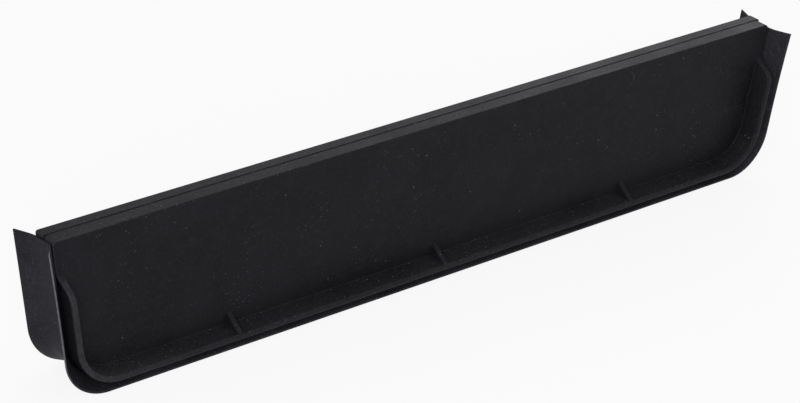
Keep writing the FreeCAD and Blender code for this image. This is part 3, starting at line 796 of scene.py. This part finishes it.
class Finish:
    """A material with short ways to add the nodes of its pattern."""

    def __init__(self, name):
        self.material = bpy.data.materials.new(name)
        self.material.use_nodes = True
        self.tree = self.material.node_tree
        self.shader = self.tree.nodes["Principled BSDF"]
        self.place = self.tree.nodes.new("ShaderNodeTexCoord").outputs["Object"]

    def fill(self, made, values):
        for key, value in values.items():
            if isinstance(value, bpy.types.NodeSocket):
                self.tree.links.new(value, made.inputs[key])
            else:
                made.inputs[key].default_value = value

    def node(self, kind, values, **settings):
        made = self.tree.nodes.new(kind)
        for key, value in settings.items():
            setattr(made, key, value)
        self.fill(made, values)
        return made

    def stretched(self, x, y, z):
        """Object coordinates scaled along each axis."""
        made = self.node("ShaderNodeMapping", {"Vector": self.place, "Scale": (x, y, z)})
        return made.outputs["Vector"]

    def slanted(self, x, y, z, angle):
        """Object coordinates turned about Y by an angle in degrees, then scaled."""
        turned = self.node("ShaderNodeMapping", {
            "Vector": self.place, "Rotation": (0.0, math.radians(angle), 0.0)})
        made = self.node("ShaderNodeMapping", {
            "Vector": turned.outputs["Vector"], "Scale": (x, y, z)})
        return made.outputs["Vector"]

    def noise(self, size, detail=2.0, roughness=0.5, vector=None):
        """Noise whose features are about that many millimetres across."""
        values = {"Vector": vector or self.place, "Scale": 1.0 / (size * MM), "Detail": detail,
                  "Roughness": roughness}
        return self.node("ShaderNodeTexNoise", values).outputs["Fac"]

    def ramp(self, value, low, high, to_low=0.0, to_high=1.0):
        """A number's range mapped to another, held at its ends."""
        made = self.node("ShaderNodeMapRange", {
            "Value": value, "From Min": low, "From Max": high, "To Min": to_low,
            "To Max": to_high}, interpolation_type="SMOOTHSTEP")
        return made.outputs["Result"]

    def maths(self, operation, first, second):
        made = self.node("ShaderNodeMath", {0: first, 1: second}, operation=operation)
        return made.outputs[0]

    def mix(self, share, first, second):
        """Two colours mixed by a share."""
        made = self.tree.nodes.new("ShaderNodeMix")
        made.data_type = "RGBA"
        sockets = {socket.identifier: socket for socket in made.inputs}
        for key, value in (("Factor_Float", share), ("A_Color", first), ("B_Color", second)):
            if isinstance(value, bpy.types.NodeSocket):
                self.tree.links.new(value, sockets[key])
            else:
                sockets[key].default_value = value
        return next(s for s in made.outputs if s.identifier == "Result_Color")

    def specks(self, spacing, size, share):
        """Small round dust specks, one in some of the cells of a given spacing."""
        cells = self.node("ShaderNodeTexVoronoi", {
            "Vector": self.place, "Scale": 1 / (spacing * MM)})
        dots = self.ramp(cells.outputs["Distance"], size / spacing, size / spacing * 0.4)
        pick = self.node("ShaderNodeSeparateColor", {"Color": cells.outputs["Color"]})
        chosen = self.ramp(pick.outputs["Red"], 1 - share, 1 - share * 0.6)
        return self.maths("MULTIPLY", dots, chosen)

    def facing_up(self):
        """1 where the surface faces up, falling to 0 where it's upright."""
        normal = self.tree.nodes.new("ShaderNodeNewGeometry").outputs["Normal"]
        parts = self.node("ShaderNodeSeparateXYZ", {"Vector": normal})
        return self.ramp(parts.outputs["Z"], 0.4, 0.9)

    def wear_and_highlight(self):
        """The piece's exposed edges, as shares of rubbing and painted highlight."""
        return self.node("ShaderNodeAttribute", {}, attribute_name="edge_wear_and_highlight").outputs["Fac"]

    def bump(self, height, strength, distance, below=None):
        values = {"Height": height, "Strength": strength, "Distance": distance * MM}
        if below:
            values["Normal"] = below
        return self.node("ShaderNodeBump", values).outputs["Normal"]


def grey(value, tint=0.0):
    """A near neutral colour, a little bluer by the tint."""
    return (value * (1 - tint * 0.6), value * (1 - tint * 0.7), value * (1 + tint), 1.0)


def moulded_plastic():
    """The shells: black plastic with a fine matt grain, dust and scratches, edges rubbed pale with
    a painted highlight, and up-facing faces lightened by painted top light mixed with settled dust.
    """
    finish = Finish("moulded_black_plastic")
    cloud = finish.noise(45.0, detail=3.0)
    patches = finish.noise(9.0, detail=2.0)
    grain = finish.noise(0.55, detail=2.0, roughness=0.6)
    colour = finish.mix(finish.ramp(cloud, 0.38, 0.62), grey(0.0062, 0.13), grey(0.0098, 0.13))
    colour = finish.mix(finish.ramp(patches, 0.45, 0.75, 0.0, 0.35), colour, grey(0.0135, 0.12))
    colour = finish.mix(finish.ramp(grain, 0.56, 0.78, 0.0, 0.4), colour, grey(0.024, 0.12))
    mottle = finish.noise(1.5, detail=3.0, roughness=0.7)
    colour = finish.mix(finish.ramp(mottle, 0.5, 0.72, 0.0, 0.5), colour, grey(0.0225, 0.12))
    clusters = finish.ramp(finish.noise(24.0, detail=2.0), 0.52, 0.66)
    drag = finish.noise(1.4, detail=1.0, vector=finish.slanted(0.22, 1.0, 1.0, 24.0))
    scratches = finish.maths("MULTIPLY", finish.ramp(drag, 0.7, 0.76), clusters)
    colour = finish.mix(finish.maths("MULTIPLY", scratches, 0.5), colour, grey(0.05, 0.08))
    # Exposed edges lightened: rubbing, and a painted highlight that is strongest at the left end.
    rubbed_and_highlight = finish.maths("MULTIPLY", finish.wear_and_highlight(), finish.ramp(mottle, 0.35, 0.6, 0.35, 0.9))
    colour = finish.mix(rubbed_and_highlight, colour, grey(0.036, 0.08))
    # Up-facing faces lightened in a mottle: painted top light, with some settled dust.
    settled_dust_and_top_light = finish.maths("MULTIPLY", finish.facing_up(), finish.ramp(mottle, 0.4, 0.65, 0.0, 0.3))
    colour = finish.mix(settled_dust_and_top_light, colour, grey(0.03, 0.12))
    fine = finish.maths(
        "MULTIPLY", finish.specks(2.0, 0.34, 0.5), finish.maths("ADD", clusters, 0.03))
    dust = finish.maths("MAXIMUM", finish.specks(8.0, 0.5, 0.5), fine)
    top_dust = finish.maths("MULTIPLY", finish.specks(2.6, 0.42, 0.5), finish.facing_up())
    dust = finish.maths("MAXIMUM", dust, top_dust)
    colour = finish.mix(finish.maths("MULTIPLY", dust, 0.8), colour, grey(0.15, 0.05))
    rough = finish.ramp(grain, 0.3, 0.7, 0.50, 0.66)
    rough = finish.maths("ADD", rough, finish.ramp(cloud, 0.3, 0.7, -0.04, 0.06))
    normal = finish.bump(grain, 0.35, 0.06)
    normal = finish.bump(finish.noise(16.0, detail=1.0), 0.12, 0.25, below=normal)
    finish.fill(finish.shader, {
        "Base Color": colour, "Roughness": rough, "Normal": normal, "Specular IOR Level": 0.11,
        "Specular Tint": SHEEN_TINT,
    })
    return finish.material


def skirt_rubber():
    """The skirt: smoother black rubber with a pale bloom, flow lines and dust, and a free edge
    painted pale as a highlight, partly rubbed.
    """
    finish = Finish("skirt_black_rubber")
    bloom = finish.noise(28.0, detail=4.0, roughness=0.6)
    grain = finish.noise(0.4, detail=2.0)
    flow = finish.noise(7.0, detail=2.0, vector=finish.stretched(0.12, 1.0, 1.0))
    colour = finish.mix(finish.ramp(bloom, 0.35, 0.65), grey(0.0155, 0.13), grey(0.024, 0.13))
    colour = finish.mix(finish.ramp(flow, 0.55, 0.75, 0.0, 0.3), colour, grey(0.03, 0.12))
    colour = finish.mix(finish.ramp(grain, 0.6, 0.8, 0.0, 0.35), colour, grey(0.04, 0.1))
    mottle = finish.noise(1.7, detail=3.0, roughness=0.7)
    colour = finish.mix(finish.ramp(mottle, 0.5, 0.72, 0.0, 0.6), colour, grey(0.047, 0.12))
    # The free edge lightened towards pale grey: a painted highlight up the front lip's left end,
    # and a little rubbing elsewhere.
    rubbed_and_highlight = finish.maths("MULTIPLY", finish.wear_and_highlight(), finish.ramp(mottle, 0.35, 0.6, 0.6, 0.95))
    colour = finish.mix(rubbed_and_highlight, colour, grey(0.15, 0.06))
    clusters = finish.ramp(finish.noise(15.0, detail=2.0), 0.45, 0.62, 0.15, 1.0)
    fine = finish.maths("MULTIPLY", finish.specks(2.0, 0.34, 0.5), clusters)
    dust = finish.maths("MAXIMUM", finish.specks(6.0, 0.45, 0.4), fine)
    colour = finish.mix(finish.maths("MULTIPLY", dust, 0.7), colour, grey(0.15, 0.04))
    rough = finish.ramp(bloom, 0.3, 0.7, 0.44, 0.58)
    normal = finish.bump(grain, 0.2, 0.04)
    normal = finish.bump(flow, 0.15, 0.12, below=normal)
    finish.fill(finish.shader, {
        "Base Color": colour, "Roughness": rough, "Normal": normal, "Specular IOR Level": 0.025,
        "Specular Tint": SHEEN_TINT,
    })
    return finish.material


def screw_steel():
    """The screws: plain plated steel, dulled and a little stained."""
    finish = Finish("plated_screw_steel")
    stain = finish.noise(1.6, detail=4.0)
    lines = finish.noise(0.5, detail=2.0, vector=finish.stretched(0.3, 3.0, 1.0))
    colour = finish.mix(finish.ramp(stain, 0.35, 0.7), grey(0.48, 0.02), grey(0.30, 0.03))
    rough = finish.ramp(lines, 0.3, 0.7, 0.26, 0.46)
    normal = finish.bump(lines, 0.15, 0.02)
    finish.fill(finish.shader, {
        "Base Color": colour, "Roughness": rough, "Normal": normal, "Metallic": 1.0,
    })
    return finish.material


# Studio.

CAMERA_PLACE = (-0.96713, -1.1007, 0.79269)
SENSOR_WIDTH = 36.0
LENS = 133.58
FLOOR_HALF = 12.0
FLOOR_GLOW = 0.88
WORLD_LEVEL = 0.6


def photo_camera():
    """A long lens to the front left of the panel and above it, slightly rolled."""
    right = Vector((0.77578325, -0.62835059, 0.05775704))
    up = Vector((0.24889137, 0.38882663, 0.8870552))
    forward = Vector((0.57983914, 0.67378734, -0.45803623))
    data = bpy.data.cameras.new("photo_camera")
    data.sensor_width = SENSOR_WIDTH
    data.lens = LENS
    data.clip_start = 0.05
    data.clip_end = 60.0
    camera = bpy.data.objects.new("photo_camera", data)
    camera.matrix_world = Matrix.Translation(CAMERA_PLACE) @ Matrix(
        (right, up, -forward)).transposed().to_4x4()
    bpy.context.scene.collection.objects.link(camera)
    bpy.context.scene.camera = camera


def seen_directly(tree):
    """A number that is 1 for the camera's, glossy and transmitted rays."""
    path = tree.nodes.new("ShaderNodeLightPath")
    total = path.outputs["Is Camera Ray"]
    for label in ("Is Glossy Ray", "Is Transmission Ray"):
        either = tree.nodes.new("ShaderNodeMath")
        either.operation = "MAXIMUM"
        tree.links.new(total, either.inputs[0])
        tree.links.new(path.outputs[label], either.inputs[1])
        total = either.outputs[0]
    return total


def studio_floor():
    """A plain white floor that keeps a soft shadow."""
    mesh = bpy.data.meshes.new("studio_floor")
    half = FLOOR_HALF
    mesh.from_pydata([(-half, -half, 0), (half, -half, 0), (half, half, 0), (-half, half, 0)],
                     [], [(0, 1, 2, 3)])
    floor = bpy.data.objects.new("studio_floor", mesh)
    bpy.context.scene.collection.objects.link(floor)
    material = bpy.data.materials.new("white_floor")
    material.use_nodes = True
    tree = material.node_tree
    shader = tree.nodes["Principled BSDF"]
    shader.inputs["Base Color"].default_value = (0.8, 0.8, 0.8, 1.0)
    shader.inputs["Roughness"].default_value = 0.9
    shader.inputs["Specular IOR Level"].default_value = 0.1
    glow = tree.nodes.new("ShaderNodeEmission")
    glow.inputs["Color"].default_value = (1.0, 1.0, 1.0, 1.0)
    share = tree.nodes.new("ShaderNodeMath")
    share.operation = "MULTIPLY"
    share.inputs[1].default_value = FLOOR_GLOW
    tree.links.new(seen_directly(tree), share.inputs[0])
    blend = tree.nodes.new("ShaderNodeMixShader")
    tree.links.new(share.outputs[0], blend.inputs["Fac"])
    tree.links.new(shader.outputs[0], blend.inputs[1])
    tree.links.new(glow.outputs[0], blend.inputs[2])
    tree.links.new(blend.outputs[0], tree.nodes["Material Output"].inputs["Surface"])
    mesh.materials.append(material)


def studio_world():
    """A white surround, at a plain level on the object."""
    world = bpy.data.worlds.new("studio_surround")
    bpy.context.scene.world = world
    world.use_nodes = True
    tree = world.node_tree
    background = tree.nodes["Background"]
    background.inputs["Color"].default_value = (1.0, 1.0, 1.0, 1.0)
    level = tree.nodes.new("ShaderNodeMapRange")
    level.inputs["To Min"].default_value = WORLD_LEVEL
    level.inputs["To Max"].default_value = 1.0
    tree.links.new(seen_directly(tree), level.inputs["Value"])
    tree.links.new(level.outputs["Result"], background.inputs["Strength"])


def soft_lamp(name, place, target, size, power):
    """A square soft light turned to a target, in metres and watts."""
    data = bpy.data.lights.new(name, "AREA")
    data.shape = "SQUARE"
    data.size = size
    data.energy = power
    lamp = bpy.data.objects.new(name, data)
    lamp.location = place
    lamp.rotation_mode = "QUATERNION"
    lamp.rotation_quaternion = (Vector(target) - Vector(place)).to_track_quat("-Z", "Y")
    bpy.context.scene.collection.objects.link(lamp)


def dress(piece, material, node):
    """Gives a piece its finish and its place among the panel's parts."""
    piece.data.materials.clear()
    piece.data.materials.append(material)
    finish_shading(piece)
    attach(piece, "root")
    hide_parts(node)


photo_camera()
studio_floor()
studio_world()
soft_lamp("front_soft_light", (-1.35, -1.3, 0.85), (0.0, 0.0, 0.05), 1.0, 19.0)
soft_lamp("rear_soft_light", (1.5, 1.1, 0.9), (0.2, 0.0, 0.05), 0.7, 8.0)

plastic = moulded_plastic()
rubber = skirt_rubber()
steel = screw_steel()
dress(front_shell(plastic), plastic, "front_shell")
dress(rear_shell(plastic), plastic, "rear_shell")
dress(skirt("skirt_strip"), rubber, "flexible_skirt")
screws = at_screws(screw_mesh("shell_screw_set"), steel, turn=1.0)
dress(screws, steel, "shell_screws")

bpy.context.scene.view_settings.view_transform = "Standard"
